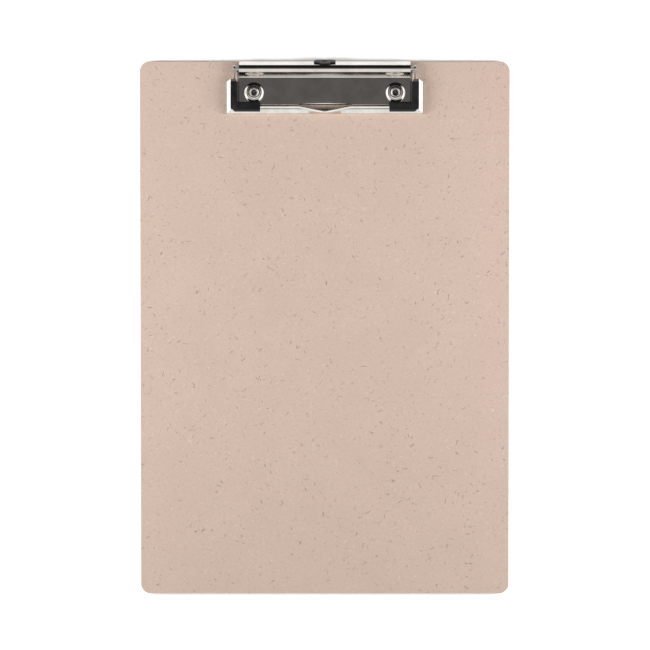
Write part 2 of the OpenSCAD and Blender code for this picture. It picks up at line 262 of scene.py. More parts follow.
def mirrored(obj, name):
    """A copy on the other side of the middle plane."""
    copy = bpy.data.objects.new(name, obj.data.copy())
    scene.collection.objects.link(copy)
    copy.data.transform(Matrix.Scale(-1, 4, (1, 0, 0)))
    copy.data.flip_normals()
    return copy


def soften(obj, width=0.1, segments=2, angle=40, smooth=32):
    """Rounds the sharp edges a little and lets flat faces keep flat shading."""
    bm = bmesh.new()
    bm.from_mesh(obj.data)
    bmesh.ops.remove_doubles(bm, verts=bm.verts, dist=0.002)
    bmesh.ops.dissolve_degenerate(bm, edges=bm.edges, dist=0.002)
    bm.to_mesh(obj.data)
    bm.free()
    if width:
        bevel = obj.modifiers.new("edges", "BEVEL")
        bevel.width = width
        bevel.segments = segments
        bevel.limit_method = "ANGLE"
        bevel.angle_limit = math.radians(angle)
        settle(obj)
    obj.data.polygons.foreach_set("use_smooth", [True] * len(obj.data.polygons))
    obj.data.set_sharp_from_angle(angle=math.radians(smooth))
    weighted = obj.modifiers.new("shading", "WEIGHTED_NORMAL")
    weighted.keep_sharp = True
    settle(obj)
    return obj


def finish_piece(obj, material, slot, *nodes):
    """Scales to metres, gives the piece its material and hides the CAD parts it takes the place of."""
    obj.data.transform(Matrix.Scale(MM, 4))
    obj.data.materials.clear()
    obj.data.materials.append(material)
    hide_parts(*nodes)
    return obj


# ---------------------------------------------------------------- material tools
class Looks:
    """A node material, built up from the surface point in millimetres."""

    def __init__(self, name):
        self.material = bpy.data.materials.new(name)
        self.material.use_nodes = True
        self.tree = self.material.node_tree
        self.tree.nodes.clear()
        self.shader = self.add("BsdfPrincipled")
        self.add("OutputMaterial", {"Surface": self.shader.outputs[0]})
        place = self.add("TexCoord").outputs["Object"]
        self.p = self.vector("MULTIPLY", place, (1000.0, 1000.0, 1000.0))

    def add(self, kind, inputs=None, **settings):
        node = self.tree.nodes.new("ShaderNode" + kind)
        for key, value in settings.items():
            setattr(node, key, value)
        for key, value in (inputs or {}).items():
            if isinstance(value, bpy.types.NodeSocket):
                self.tree.links.new(value, node.inputs[key])
            else:
                node.inputs[key].default_value = value
        return node

    def vector(self, operation, a, b):
        return self.add("VectorMath", {0: a, 1: b}, operation=operation).outputs[0]

    def math(self, operation, a, b=0.0, clamp=False):
        return self.add("Math", {0: a, 1: b}, operation=operation, use_clamp=clamp).outputs[0]

    def mapped(self, vector, scale, turn=0.0, shift=(0, 0, 0)):
        turned = self.add(
            "VectorRotate", {"Vector": vector, "Angle": turn}, rotation_type="Z_AXIS"
        ).outputs[0]
        return self.add("Mapping", {"Vector": turned, "Scale": scale, "Location": shift}).outputs[0]

    def noise(self, vector, scale, detail=2.0, rough=0.5, output="Fac"):
        return self.add(
            "TexNoise", {"Vector": vector, "Scale": scale, "Detail": detail, "Roughness": rough}
        ).outputs[output]

    def span(self, value, low, high, to_low=0.0, to_high=1.0):
        """Maps low..high of a value to to_low..to_high, and stops there."""
        return self.add(
            "MapRange",
            {"Value": value, "From Min": low, "From Max": high, "To Min": to_low, "To Max": to_high},
            interpolation_type="SMOOTHSTEP",
        ).outputs[0]

    def blend(self, factor, a, b, mode="MIX"):
        node = self.add("Mix", {0: factor}, data_type="RGBA", blend_type=mode)
        for key, value in ((6, a), (7, b)):
            if isinstance(value, bpy.types.NodeSocket):
                self.tree.links.new(value, node.inputs[key])
            else:
                node.inputs[key].default_value = (*value, 1.0)
        return node.outputs[2]

    def bump(self, height, depth, after=None):
        """Raises the surface by up to depth millimetres."""
        inputs = {"Height": height, "Strength": 1.0, "Distance": depth * MM}
        if after is not None:
            inputs["Normal"] = after
        return self.add("Bump", inputs).outputs[0]

    def surface(self, **inputs):
        for key, value in inputs.items():
            socket = self.shader.inputs[key.replace("_", " ")]
            if isinstance(value, bpy.types.NodeSocket):
                self.tree.links.new(value, socket)
            else:
                socket.default_value = value
        return self.material


def streaks(m, turn, long, fine, low, high, shift=0.0):
    """Thin straight scratches in one direction."""
    lines = m.noise(
        m.mapped(m.p, (long, fine, fine), turn, (shift, shift * 2.3, shift * 0.7)), 1.0, 3.0, 0.6
    )
    breaks = m.noise(m.mapped(m.p, (0.21, 0.21, 0.21), turn, (shift, 3.0, shift)), 1.0, 2.0)
    return m.math("MULTIPLY", m.span(lines, low, high), m.span(breaks, 0.42, 0.6))


def metal(name, colour, rough, smudge=0.07, scratch=0.12, wave=0.004, grain=0.0006, bore=None):
    """Plated or bare steel with soft smudges, fine scratches and slight waviness, and painted shade inside
    a bore where one is given.
    """
    m = Looks(name)
    cloud = m.noise(m.p, 0.09, 4.0, 0.6)
    grit = m.noise(m.p, 2.6, 3.0, 0.6)
    lines = m.math(
        "MAXIMUM",
        streaks(m, 0.35, 0.035, 3.4, 0.66, 0.74),
        m.math(
            "MAXIMUM",
            streaks(m, -0.9, 0.05, 4.2, 0.68, 0.76, 7.0),
            streaks(m, 1.45, 0.04, 5.0, 0.68, 0.76, 19.0),
        ),
    )
    worn = m.span(m.add("NewGeometry").outputs["Pointiness"], 0.52, 0.6)
    dark = tuple(c * 0.9 for c in colour)
    light = tuple(min(1.0, c * 1.06) for c in colour)
    tint = m.blend(m.span(cloud, 0.3, 0.7), dark, light)
    tint = m.blend(m.math("MULTIPLY", lines, 0.35), tint, light)
    tint = m.blend(m.math("MULTIPLY", worn, 0.5), tint, light)
    roughness = m.math(
        "ADD", m.span(cloud, 0.35, 0.75, rough, rough + smudge), m.math("MULTIPLY", lines, scratch)
    )
    roughness = m.math("ADD", roughness, m.span(grit, 0.45, 0.75, 0.0, smudge * 0.5))
    if bore:
        place = m.add("SeparateXYZ", {0: m.p}).outputs
        off_x = m.math("SUBTRACT", m.math("ABSOLUTE", place[0]), bore[0])
        off_y = m.math("SUBTRACT", place[1], bore[1])
        off = m.math(
            "POWER",
            m.math("ADD", m.math("MULTIPLY", off_x, off_x), m.math("MULTIPLY", off_y, off_y)), 0.5
        )
        # Painted shade: the bore's inner wall below its rolled rim is coloured near black; it is also made
        # rougher.
        bore_shade_and_dull = m.math(
            "MULTIPLY", m.span(off, bore[2] + 0.12, bore[2] + 0.02),
            m.span(place[2], bore[3], bore[3] - 0.3)
        )
        tint = m.blend(bore_shade_and_dull, tint, (0.035, 0.033, 0.031))
        roughness = m.math("ADD", roughness, m.math("MULTIPLY", bore_shade_and_dull, 0.5))
    normal = m.bump(m.noise(m.p, 0.12, 1.0), wave)
    normal = m.bump(m.math("SUBTRACT", grit, m.math("MULTIPLY", lines, 0.6)), grain, normal)
    return m.surface(Base_Color=tint, Metallic=1.0, Roughness=roughness, Normal=normal)


def fibres(m, point, turn, length, width, size, contrast, shift):
    """Scattered short fibres lying in one direction, each a stretched speck of its own size."""
    cells = m.add(
        "TexVoronoi",
        {
            "Vector": m.mapped(
                point, (1 / length, 1 / width, 1 / width), turn, (shift, shift * 1.7, shift * 0.6)
            ),
            "Scale": 1.0
        },
    )
    chance = m.add("SeparateColor", {0: cells.outputs["Color"]})
    reach = m.math("MULTIPLY", m.math("POWER", chance.outputs[0], 26.0), size)
    speck = m.math("MULTIPLY", m.math("SUBTRACT", reach, cells.outputs["Distance"]), 9.0, clamp=True)
    return m.math("MULTIPLY", speck, m.span(chance.outputs[1], 0.0, 1.0, contrast * 0.4, contrast))


def fibreboard():
    """Pressed wood fibre: fine mottling, dark and pale fibres at every angle, and a coarser cut edge."""
    m = Looks("pressed_fibreboard")
    wander = m.vector("SUBTRACT", m.noise(m.p, 0.35, 2.0, output="Color"), (0.5, 0.5, 0.5))
    point = m.vector("ADD", m.p, m.vector("MULTIPLY", wander, (2.6, 2.6, 2.6)))
    dark = pale = None
    for k in range(8):
        turn = math.radians(11 + 22.5 * k + 7 * (k % 3))
        one = fibres(m, point, turn, 5.2 - 0.4 * (k % 4), 0.78 + 0.1 * (k % 3), 0.46, 1.0, 3.1 * k + 1.7)
        dark = one if dark is None else m.math("MAXIMUM", dark, one)
    for k in range(5):
        turn = math.radians(3 + 36 * k)
        one = fibres(m, point, turn, 3.4, 0.9, 0.5, 0.8, 5.3 * k + 40)
        pale = one if pale is None else m.math("MAXIMUM", pale, one)
    fine = None
    for k in range(3):
        one = m.noise(
            m.mapped(point, (0.7, 2.6, 2.6), math.radians(60 * k + 15), (9.0 * k, 0, 0)), 1.0, 3.0,
            0.65
        )
        fine = one if fine is None else m.math("ADD", fine, one)
    fine = m.math("DIVIDE", fine, 3.0)
    patch = m.noise(m.p, 0.03, 3.0, 0.55)
    mottle = m.noise(m.p, 0.55, 4.0, 0.65)
    colour = m.blend(m.span(fine, 0.36, 0.64), (0.463, 0.352, 0.290), (0.607, 0.483, 0.410))
    colour = m.blend(m.span(mottle, 0.3, 0.7, 0.0, 0.55), colour, (0.575, 0.452, 0.381))
    colour = m.blend(m.span(patch, 0.35, 0.65, 0.0, 0.25), colour, (0.500, 0.386, 0.322))
    colour = m.blend(m.math("MULTIPLY", pale, 0.5), colour, (0.72, 0.60, 0.52))
    colour = m.blend(m.math("MULTIPLY", dark, 0.55), colour, (0.175, 0.110, 0.075))
    facing = m.add("SeparateXYZ", {0: m.add("NewGeometry").outputs["True Normal"]}).outputs[2]
    edge = m.span(m.math("ABSOLUTE", facing), 0.9, 0.5)
    layers = m.noise(m.mapped(m.p, (0.5, 0.5, 6.0)), 1.0, 4.0, 0.7)
    cut = m.blend(m.span(layers, 0.3, 0.7), (0.250, 0.172, 0.128), (0.430, 0.318, 0.250))
    colour = m.blend(edge, colour, cut)
    roughness = m.span(m.math("ADD", fine, m.math("MULTIPLY", edge, 0.4)), 0.3, 1.0, 0.52, 0.8)
    relief = m.math("SUBTRACT", fine, m.math("MULTIPLY", dark, 0.3))
    normal = m.bump(m.math("ADD", relief, m.math("MULTIPLY", m.math("MULTIPLY", layers, edge), 2.0)), 0.05)
    return m.surface(
        Base_Color=colour, Roughness=roughness, Normal=normal, Specular_IOR_Level=0.3, Diffuse_Roughness=0.3
    )


def moulded(name, colour, rough, grain, speck=2.2):
    """Moulded rubber or plastic: fine matt texture, faint dust and slight unevenness."""
    m = Looks(name)
    texture = m.noise(m.p, speck, 3.0, 0.6)
    pebble = m.add(
        "TexVoronoi", {"Vector": m.p, "Scale": speck * 1.6}, feature="SMOOTH_F1"
    ).outputs["Distance"]
    cloud = m.noise(m.p, 0.22, 4.0, 0.6)
    worn = m.span(m.add("NewGeometry").outputs["Pointiness"], 0.51, 0.58)
    light = tuple(c * 1.9 + 0.003 for c in colour)
    tint = m.blend(m.span(cloud, 0.35, 0.75, 0.0, 0.6), colour, light)
    tint = m.blend(m.math("MULTIPLY", worn, 0.5), tint, light)
    roughness = m.math(
        "ADD", m.span(cloud, 0.3, 0.7, rough - 0.05, rough + 0.08),
        m.span(texture, 0.4, 0.7, 0.0, 0.06)
    )
    normal = m.bump(m.math("ADD", texture, pebble), grain, m.bump(m.noise(m.p, 0.5, 1.0), 0.02))
    return m.surface(Base_Color=tint, Roughness=roughness, Normal=normal)


board_look = fibreboard()
plate_look = metal("nickel_plate", (0.70, 0.665, 0.63), 0.07)
rivet_look = metal(
    "rivet_nickel", (0.78, 0.76, 0.73), 0.09, wave=0.002, bore=(rivet_x, rivet_y, 1.75, rivet_top - 0.6)
)
washer_look = metal("washer_zinc", (0.64, 0.64, 0.65), 0.22)
jaw_look = metal("bright_jaw_plate", (0.80, 0.775, 0.745), 0.08)
rod_look = metal("rod_steel_bright", (0.62, 0.61, 0.60), 0.16, wave=0.001)
spring_look = metal("spring_wire", (0.60, 0.585, 0.57), 0.2, wave=0.001)
rubber_look = moulded("black_rubber", (0.003, 0.003, 0.0034), 0.40, 0.012)
plastic_look = moulded("black_plastic", (0.007, 0.007, 0.0075), 0.30, 0.006, 3.0)

# ---------------------------------------------------------------- board
CORNER_R = 6.0
HOLE_GAP = 0.05
RECESS = 0.7
rivet_r = 2.3

corners = [
    (board_lo.x, board_lo.y), (board_hi.x, board_lo.y), (board_hi.x, board_hi.y),
    (board_lo.x, board_hi.y)
]
panel = prism("board_panel", rounded(corners, CORNER_R, 20), "Z", board_lo.z, face_z)
for sign in (-1, 1):
    where = (sign * rivet_x, rivet_y, 0)
    hole = [(0, -1), (washer_hi.x - rivet_x + HOLE_GAP, -1), (washer_hi.x - rivet_x + HOLE_GAP, RECESS)]
    hole += [(rivet_r + HOLE_GAP, RECESS), (rivet_r + HOLE_GAP, face_z + 1), (0, face_z + 1)]
    combine(panel, lathe("hole", hole, where, steps=64))
soften(panel, 0.22, 3, 50)
finish_piece(panel, board_look, "fibreboard", "board")
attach(panel, "base")

# ---------------------------------------------------------------- base plate and hood
FILLET_R = 1.05
BEVEL = 0.4
LENS_HALF = 17.0            # half length of the dished edge in the middle
LENS_DEPTH = 0.9
LENS_DROP = 0.26
SLOT_W = 7.8
SLOT_TOP = 1.4
FLANK = math.radians(55)    # slope of the hood's two flanks
flank_s, flank_c = math.sin(FLANK), math.cos(FLANK)
fillet_z = face_z + SHEET + FILLET_R
flank_top_z = pivot_z + hood_r * flank_c
flank_low_z = fillet_z - FILLET_R * flank_c
fillet_y = pivot_y - hood_r * flank_s - FILLET_R * flank_s - (flank_top_z - flank_low_z) * flank_c / flank_s
rear_low_z = flank_top_z - (top_y - pivot_y - hood_r * flank_s) * flank_s / flank_c
WALL_BEND = 0.5


def base_loop(x):
    """Section of the plate and hood at x, out along the top and back along the underside."""
    dish = max(0.0, 1 - (x / LENS_HALF) ** 2)
    run = BEVEL + LENS_DEPTH * dish
    drop = BEVEL + LENS_DROP * min(1.0, dish * 2)
    bend = [0.1, 0.3, 0.6, 1.0]
    slope = math.degrees(FLANK)
    top = [(front_y, plate_top - drop)]
    top += [(front_y + run * s, plate_top - drop * (1 - s) ** (1 + 0.6 * dish)) for s in bend]
    top += [(front_y + 4.5, plate_top), (fillet_y - 4.0, plate_top)]
    top += arc(fillet_y, fillet_z, FILLET_R, -90, slope - 90, 12)
    top += arc(pivot_y, pivot_z, hood_r, 90 + slope, 90 - slope, 30)
    top += arc(top_y - WALL_BEND * 1.2, rear_low_z - 0.1, WALL_BEND * 1.2, 90 - slope, 0, 6)
    top += [(top_y, face_z + 0.1)]
    under = [(front_y, face_z)] + [(front_y + run * s, face_z) for s in bend]
    under += [(front_y + 4.5, face_z), (fillet_y - 4.0, face_z)]
    under += arc(fillet_y, fillet_z, FILLET_R + SHEET, -90, slope - 90, 12)
    under += arc(pivot_y, pivot_z, hood_r - SHEET, 90 + slope, 90 - slope, 30)
    under += arc(top_y - SHEET - 0.3, rear_low_z - 0.42, 0.3, 90 - slope, 0, 6)
    under += [(top_y - SHEET, face_z + 0.1)]
    return [(x, u, v) for u, v in top + under[::-1]]


stations = [-plate_x, -plate_x + 6, -34, -24, -19]
stations += [-LENS_HALF + 2 * LENS_HALF * k / 32 for k in range(33)]
stations += [19, 24, 34, plate_x - 6, plate_x]
base = loft("clip_base", [base_loop(x) for x in stations], strip=True)

BOSS_R = 5.95
BOSS_TOP_R = 4.2
BOSS_H = 0.7
bearing_x = 45.86
boss_curve = [
    (
        BOSS_R + 0.35 - (BOSS_R + 0.35 - BOSS_TOP_R) * s,
        plate_top - 0.008 + (BOSS_H + 0.008) * (s * s * (3 - 2 * s)),
    )
    for s in [k / 12 for k in range(13)]
]
for sign in (-1, 1):
    where = (sign * rivet_x, rivet_y, 0)
    solid = [(0, face_z + 0.3), (BOSS_R + 0.35, face_z + 0.3)] + boss_curve + [(0, plate_top + BOSS_H)]
    combine(base, lathe("boss", solid, where), "UNION")
    hollow = [
        (0, face_z - 1), (4.6, face_z - 1), (4.6, face_z + 0.02), (4.2, face_z + 0.5),
        (3.6, face_z + BOSS_H), (0, face_z + BOSS_H)
    ]
    combine(base, lathe("hollow", hollow, where))
    bore = [
        (0, face_z - 1), (rivet_r + HOLE_GAP, face_z - 1), (rivet_r + HOLE_GAP, face_z + 3),
        (0, face_z + 3)
    ]
    combine(base, lathe("bore", bore, where, steps=64))
    web_x = sign * bearing_x
    web = prism(
        "web",
        [p for p in arc(pivot_y, pivot_z, hood_r - SHEET * 0.5, -74, 254, 60)],
        "X",
        web_x - SHEET / 2,
        web_x + SHEET / 2,
    )
    combine(base, web, "UNION")
    bearing = [(0, -2), (1.05, -2), (1.05, 2), (0, 2)]
    combine(base, lathe("bearing", bearing, (web_x, pivot_y, pivot_z), "X", 48))
slot = [
    (-SLOT_W / 2, -1), (SLOT_W / 2, -1), (SLOT_W / 2, face_z + SLOT_TOP),
    (-SLOT_W / 2, face_z + SLOT_TOP)
]
combine(base, prism("slot", rounded(slot, [0, 0, 0.5, 0.5], 5), "Y", top_y - SHEET - 0.5, top_y + 1))
soften(base, 0.07, 2, 50)
finish_piece(base, plate_look, "plate_metal", "base_plate")
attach(base, "base")

# ---------------------------------------------------------------- rivets and washers
flange_r = rivet_hi.x - rivet_x
flange_z = plate_top + BOSS_H
LIP_R = 0.5
BORE_R = 1.75
clinch_r = rivet_r + SHEET
clinch_z = washer_lo.z - 0.25
rivet_profile = [(BORE_R, clinch_z + 0.3)]
rivet_profile += arc(BORE_R + 0.3, clinch_z + 0.3, 0.3, 180, 270, 6)[1:]
rivet_profile += arc(clinch_r - 0.12, clinch_z + 0.125, 0.12, -90, 90, 6)
rivet_profile += [(rivet_r, washer_lo.z), (rivet_r, flange_z)]
rivet_profile += arc(flange_r - 0.14, flange_z + 0.14, 0.14, -90, 60, 6)
rivet_profile += [
    (flange_r - 0.5, flange_z + 0.37), (flange_r - 0.9, flange_z + 0.40),
    (flange_r - 1.15, flange_z + 0.42)
]
rivet_profile += arc(BORE_R + LIP_R, rivet_top - LIP_R, LIP_R, 5, 180, 14)
rivet_profile += [(BORE_R, 3.0)]
hole_r = rivet_r + HOLE_GAP
washer_r = washer_hi.x - rivet_x
washer_profile = rounded(
    [
        (hole_r, washer_lo.z), (washer_r, washer_lo.z), (washer_r, washer_hi.z),
        (hole_r, washer_hi.z)
    ], 0.08, 3
)
for sign, side in ((-1, "left"), (1, "right")):
    where = (sign * rivet_x, rivet_y, 0)
    rivet = soften(lathe("rivet_turned_" + side, rivet_profile, where), 0)
    finish_piece(rivet, rivet_look, "rivet_metal", "rivet_" + side)
    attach(rivet, "base")
    washer = soften(lathe("washer_ring_" + side, washer_profile, where), 0)
    finish_piece(washer, washer_look, "rivet_metal", "washer_" + side)
    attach(washer, "base")

# ---------------------------------------------------------------- jaw frame
SIDE_SKIRT = 2.6
FRONT_SKIRT = 2.5
LIP = 1.8
ARM_W = 4.0
BAR_W = 2.3
LIP_H = 0.55
LIP_RUN = 1.6
SLANT = 1.7
HEM_X = 39.1
NOTCH_HALF = 14.5
NOTCH_DEEP = 3.0
CREASE_R = 0.95
KNEE_R = 1.1
crease_x = jaw_hi.x - SIDE_SKIRT
crease_y = jaw_lo.y + FRONT_SKIRT
arm_in_x = crease_x - ARM_W
bar_in_y = crease_y + BAR_W
jaw_low = jaw_lo.z
jaw_top = face_z + 4.0
knee_z = jaw_low + LIP
arm_end_y = pivot_y - 6.4


def bend_chain(points, radii, steps):
    """An open line with its inner corners rounded."""
    return rounded(points, [0] + radii + [0], steps)


def sheet_loop(width, run, hem=0.0, inner=None, crease=0.0):
    """Section of the bent sheet as (distance out from the crease, height). hem runs from 0, a plain
    edge, to 1, one with its lip turned up. inner is the edge's place and crease the bend's, where
    they differ."""
    edge = -width if inner is None else inner
    top, low, t = jaw_top, jaw_low, SHEET
    rise = top - knee_z
    slope_run = run - crease
    length = math.hypot(slope_run, rise)
    shift = t * length / rise
    knee_in = top - rise * (slope_run + shift - t) / slope_run if slope_run > 0.5 else knee_z - 0.3
    knee_in = max(knee_in, low + 0.4)
    outer = bend_chain(
        [(run, low + 0.12), (run, knee_z), (crease, top), (min(crease - 0.02, edge + 1.75), top)],
        [KNEE_R * min(1, slope_run / 2), CREASE_R * min(1, slope_run / 2)], 7
    )
    crease_in = crease + slope_run * t / rise - shift
    crease_in = max(crease_in, edge + min(LIP_RUN, 0.66 * (run - edge)) + 0.05 if hem else edge + 0.95)
    crease_in = min(crease_in, run - t - 0.02)
    under = bend_chain(
        [
            (run - t, low + 0.12), (run - t, knee_in), (crease_in, top - t),
            (min(crease_in - 0.02, edge + 1.7), top - t)
        ],
        [0.25 if knee_in > low + 0.5 else 0.02, 0.12],
        7,
    )
    plain = [(edge + 0.7, top), (edge + 0.6, top), (edge + 0.5, top), (edge + 0.4, top)]
    plain += arc(edge + 0.25, top - 0.25, 0.25, 90, 180, 5) + arc(
        edge + 0.25, top - t + 0.25, 0.25, 180, 270, 4
    )
    plain += [(edge + 0.4, top - t), (edge + 0.5, top - t), (edge + 0.6, top - t)]
    reach = min(LIP_RUN, 0.66 * (run - edge))
    lift = [
        (edge + reach + 0.1, 0.0), (edge + reach - 0.25, 0.035), (edge + reach - 0.5, 0.13),
        (edge + 0.52, LIP_H - 0.06)
    ]
    fold = [(o, top + h) for o, h in lift]
    fold += arc(edge + 0.36, top + LIP_H - 0.36, 0.36, 66, 180, 5)
    fold += arc(edge + 0.12, top + LIP_H - 0.84, 0.12, 180, 240, 4)
    fold += [(edge + 0.35, top - 0.56), (edge + reach - 0.6, top - t + 0.06), (edge + reach - 0.1, top - t)]
    nose = [(a[0] + (b[0] - a[0]) * hem, a[1] + (b[1] - a[1]) * hem) for a, b in zip(plain, fold)]
    half = len(nose) // 2
    loop_out = [(run - 0.1, low)] + outer + nose[:half]
    loop_in = [(run - t + 0.1, low)] + under + nose[half:][::-1]
    return loop_out, loop_in


def notch_y(x):
    """Inner edge of the bar at x: straight, then a shallow V with a rounded tip and shoulders."""
    ease = 1.1
    u = abs(x)
    slope = NOTCH_DEEP / NOTCH_HALF
    tip = math.sqrt(u * u + ease * ease) - ease * 0.55
    raw = bar_in_y - NOTCH_DEEP + slope * tip
    gap = bar_in_y - raw
    return bar_in_y - (gap + math.sqrt(gap * gap + 0.02)) / 2


def joined(chains):
    out, back = chains
    return out + back[::-1]


arm_section = joined(sheet_loop(ARM_W, SIDE_SKIRT))
corner_section = joined(sheet_loop(BAR_W, FRONT_SKIRT))


def rear_y(o):
    """Where the arm ends, slanting forward across the skirt."""
    return arm_end_y - SLANT * max(0.0, min(1.0, o / SIDE_SKIRT))


SEAM = 0.09
SEAM_DEEP = 0.22


def arm_loop(sign, share, inset=0.0):
    """Section of an arm: share 0 is its rear end and 1 the mitre at the corner."""
    loop = []
    for (oa, z), (ob, _) in zip(arm_section, corner_section):
        start, end = rear_y(oa), crease_y - ob
        y = start + (end - start) * share + (SEAM if share > 1 else 0)
        loop.append((sign * (crease_x + oa), y, z))
    return loop


def mitre_loop(sign, along, sunk):
    """Section at a corner, moved along the arm or the bar, with the skirts sunk into a seam."""
    loop = []
    for (oa, z), (ob, _) in zip(arm_section, corner_section):
        x, y = crease_x + oa, crease_y - ob
        if along > 0:
            y += along
        else:
            x += along
        if sunk and oa > 0.6:
            x -= sunk
            y += sunk
        loop.append((sign * x, y, z))
    return loop


def bar_loop(x, hem):
    edge = crease_y - notch_y(x)
    reach = edge + min(LIP_RUN, 0.66 * (FRONT_SKIRT - edge)) + 0.12
    rest = LIP_RUN + 0.12 - BAR_W
    crease = (reach + math.sqrt(reach * reach + 0.3) - rest - math.sqrt(rest * rest + 0.3)) / 2
    return [(x, crease_y - o, z) for o, z in joined(sheet_loop(BAR_W, FRONT_SKIRT, hem, edge, crease))]


loops = [
    arm_loop(-1, 0), arm_loop(-1, 0.5), mitre_loop(-1, SEAM, 0), mitre_loop(-1, 0, SEAM_DEEP),
    mitre_loop(-1, -SEAM, 0)
]
bar_x = [-HEM_X, -30, -22, -18] + [-16 + 32 * k / 40 for k in range(41)] + [18, 22, 30, HEM_X]
loops.append([(-41.5, crease_y - o, z) for o, z in joined(sheet_loop(BAR_W, FRONT_SKIRT))])
loops += [bar_loop(x, 1.0) for x in bar_x]
loops.append([(41.5, crease_y - o, z) for o, z in joined(sheet_loop(BAR_W, FRONT_SKIRT))])
loops += [
    mitre_loop(1, -SEAM, 0), mitre_loop(1, 0, SEAM_DEEP), mitre_loop(1, SEAM, 0), arm_loop(1, 0.5),
    arm_loop(1, 0)
]
jaw = loft("jaw_pressing", loops, strip=True)

EAR_X = 54.4
LUG_R = 2.1
for sign in (-1, 1):
    root_y = arm_end_y - 1.2
    outline = [(root_y, jaw_top - LUG_R), (pivot_y - 0.4, pivot_z - LUG_R)]
    outline += arc(pivot_y, pivot_z, LUG_R, -90, 105, 30) + [
        (arm_end_y + 0.9, jaw_top - 0.12), (root_y, jaw_top - 0.12)
    ]
    ear = prism(
        "ear", outline, "X", min(sign * EAR_X, sign * (EAR_X + SHEET)),
        max(sign * EAR_X, sign * (EAR_X + SHEET))
    )
    combine(jaw, ear, "UNION")
    hole = [(0, -2), (1.02, -2), (1.02, 2), (0, 2)]
    combine(jaw, lathe("hole", hole, (sign * (EAR_X + SHEET / 2), pivot_y, pivot_z), "X", 48))
jaw_tool = bpy.data.objects.new("jaw_tool", jaw.data.copy())
scene.collection.objects.link(jaw_tool)
soften(jaw, 0.06, 2, 55)
finish_piece(jaw, jaw_look, "jaw_metal", "jaw_frame")
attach(jaw, "jaw")

# ---------------------------------------------------------------- pivot rod
ROD_R = 1.0
HEAD_R = 1.7
head_in = EAR_X + SHEET
rod_end = rod_hi.x
rod_profile = [(0, -rod_end)] + [
    (
        HEAD_R * math.sin(math.radians(a)),
        -rod_end + (rod_end - head_in - 0.12) * (1 - math.cos(math.radians(a)))
    )
    for a in range(10, 91, 10)
]
rod_profile += [(HEAD_R, -head_in - 0.06), (HEAD_R - 0.1, -head_in), (ROD_R, -head_in)]
rod_profile = rod_profile + [(r, -h) for r, h in rod_profile[::-1]]
rod = soften(lathe("pivot_axle", rod_profile, (0, pivot_y, pivot_z), "X", 48), 0)
finish_piece(rod, rod_look, "rod_steel", "pivot_rod")
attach(rod, "jaw")

# ---------------------------------------------------------------- springs
WIRE_R = 0.28
COIL_R = 1.6
coil_x = 53.6
coil_end_x = 47.96
TURNS = 10.25
leg_tip = (151.0, jaw_top + 0.05 + WIRE_R)
helix = []
STEPS = 40
total = int(TURNS * STEPS)
for k in range(total + 1):
    angle = 2 * math.pi * k / STEPS
    helix.append(
        (
            coil_end_x + (coil_x - coil_end_x) * k / total, pivot_y + COIL_R * math.cos(angle),
            pivot_z + COIL_R * math.sin(angle)
        )
    )
foot = [
    (coil_end_x, pivot_y + COIL_R, z) for z in (
        face_z + 0.05 + WIRE_R, face_z + 1.4, pivot_z - 0.9, pivot_z - 0.3
    )
]
start_z = pivot_z + COIL_R
arm_leg = [
    (coil_x, pivot_y + (leg_tip[0] - pivot_y) * s, start_z + (leg_tip[1] - start_z) * s)
    for s in (0.06, 0.14, 0.25, 0.4, 0.6, 0.8, 0.93)
]
for sign, side in ((1, "right"), (-1, "left")):
    path = [(sign * x, y, z) for x, y, z in foot + helix + arm_leg]
    spring = soften(tube("torsion_spring_" + side, path, WIRE_R, 14), 0)
    finish_piece(spring, spring_look, "spring_steel", "spring_" + side)
    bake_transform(spring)

# ---------------------------------------------------------------- grips
SKIN = 0.6
GRIP_END = grip_lo.x
grip_top = jaw_top + SKIN
grip_in_x = arm_in_x - 0.7
grip_back_y = bar_in_y + 2.5
grip_front_y = crease_y - FRONT_SKIRT / 2 + 0.05
grip_rear_y = grip_hi.y
IN_R = 0.95


def grip_section(run, inner):
    """Rubber over the flat top and slope, as (distance out from the crease, height)."""
    slope = (jaw_top - knee_z) / run
    lift = SKIN * math.hypot(1, slope)
    reach = run + 1.5
    points = [
        (reach, face_z + 0.15),
        (reach, jaw_top - slope * reach + lift),
        ((lift - SKIN) / slope, grip_top),
        (-inner, grip_top),
        (-inner, face_z + 0.15),
    ]
    return rounded(points, [0, 0, 1.1, IN_R, 0], 8)


front_part = [(crease_y - o, z) for o, z in grip_section(FRONT_SKIRT, grip_back_y - crease_y)]
side_part = [(crease_x + o, z) for o, z in grip_section(SIDE_SKIRT, crease_x - grip_in_x)]
leg_a = prism("leg_a", front_part, "X", GRIP_END, crease_x + 6)
leg_b = prism("leg_b", side_part, "Y", crease_y - 6, grip_rear_y)
form_x = prism("form_x", [(crease_y - o, z) for o, z in grip_section(FRONT_SKIRT, 40)], "X", 0, 90)
form_y = prism("form_y", [(crease_x + o, z) for o, z in grip_section(SIDE_SKIRT, 40)], "Y", 100, 170)
grip = combine(leg_a, leg_b, "UNION")
combine(grip, form_x, "INTERSECT")
combine(grip, form_y, "INTERSECT")
GRIP_BEVEL = 2.4
plan = [
    (GRIP_END, grip_front_y),
    (crease_x - GRIP_BEVEL, grip_front_y),
    (crease_x, grip_front_y + GRIP_BEVEL),
    (crease_x, grip_rear_y),
    (GRIP_END, grip_rear_y),
]
plan = rounded(plan, [0.5, 1.2, 1.2, 0.6, 0.0], 6)
combine(grip, prism("plan", plan, "Z", 0, 12), "INTERSECT")
under = [(-80, 0), (plate_x + 0.3, 0), (plate_x + 0.3, plate_top + 0.3), (-80, plate_top + 0.3)]
combine(grip, prism("under", under, "Y", front_y - 0.3, 170))
soften(grip, 0.32, 3, 42, 40)
combine(grip, jaw_tool)
grip.data.set_sharp_from_angle(angle=math.radians(40))
left = mirrored(grip, "grip_moulding_left")
grip.name = "grip_moulding_right"
